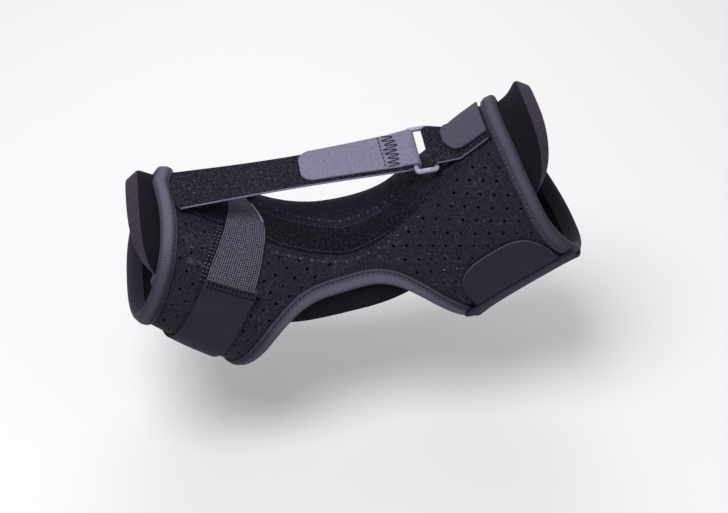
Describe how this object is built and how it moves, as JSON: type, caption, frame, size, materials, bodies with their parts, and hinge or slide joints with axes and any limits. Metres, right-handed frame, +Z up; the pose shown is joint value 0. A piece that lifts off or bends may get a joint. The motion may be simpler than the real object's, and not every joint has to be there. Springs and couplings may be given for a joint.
{
  "type": "soft dorsal night splint for the foot",
  "caption": "Perforated soft wrap round the forefoot and the lower leg with an open heel, a thick foam pad on top and a ring-buckled strap that pulls the toes up.",
  "frame": {"origin": "middle of the ankle, where the middle lines of the foot part and of the leg part would meet if the bend were sharp", "axes": "+X from the toe end to the leg end, +Y to the inner side of the foot, +Z up, from the sole and calf side to the top of the foot and the shin"},
  "size_m": [0.3046, 0.1207, 0.1717],
  "materials": {
    "black_loop_cloth": "perforated brushed loop cloth, matt, faintly fuzzy",
    "pad_cloth": "smooth matt lining cloth over soft foam",
    "slate_binding": "ribbed slate elastic binding with one stitch line",
    "velvet_loop": "dense velvety loop cloth",
    "grid_elastic": "open grid elastic weave",
    "smooth_knit": "smooth fine knit, matt",
    "fuzzy_loop_strap": "deep black fuzzy loop webbing with a pale selvedge",
    "grey_hook_tab": "smooth slate grey brushed hook tab",
    "grey_plastic": "moulded grey plastic, satin"
  },
  "bodies": {
    "root": {"wrap_shell": "black_loop_cloth", "foam_pad": "pad_cloth", "toe_binding": "slate_binding", "leg_binding": "slate_binding", "heel_binding": "slate_binding", "stay_pocket": "velvet_loop", "elastic_band": "grid_elastic", "sole_strap": "smooth_knit", "tension_strap": "fuzzy_loop_strap", "strap_tab": "grey_hook_tab", "leg_strap": "fuzzy_loop_strap", "leg_tab": "grey_hook_tab", "calf_flap": "smooth_knit", "calf_wing": "smooth_knit", "ring_buckle": "grey_plastic"}
  },
  "joints": []
}
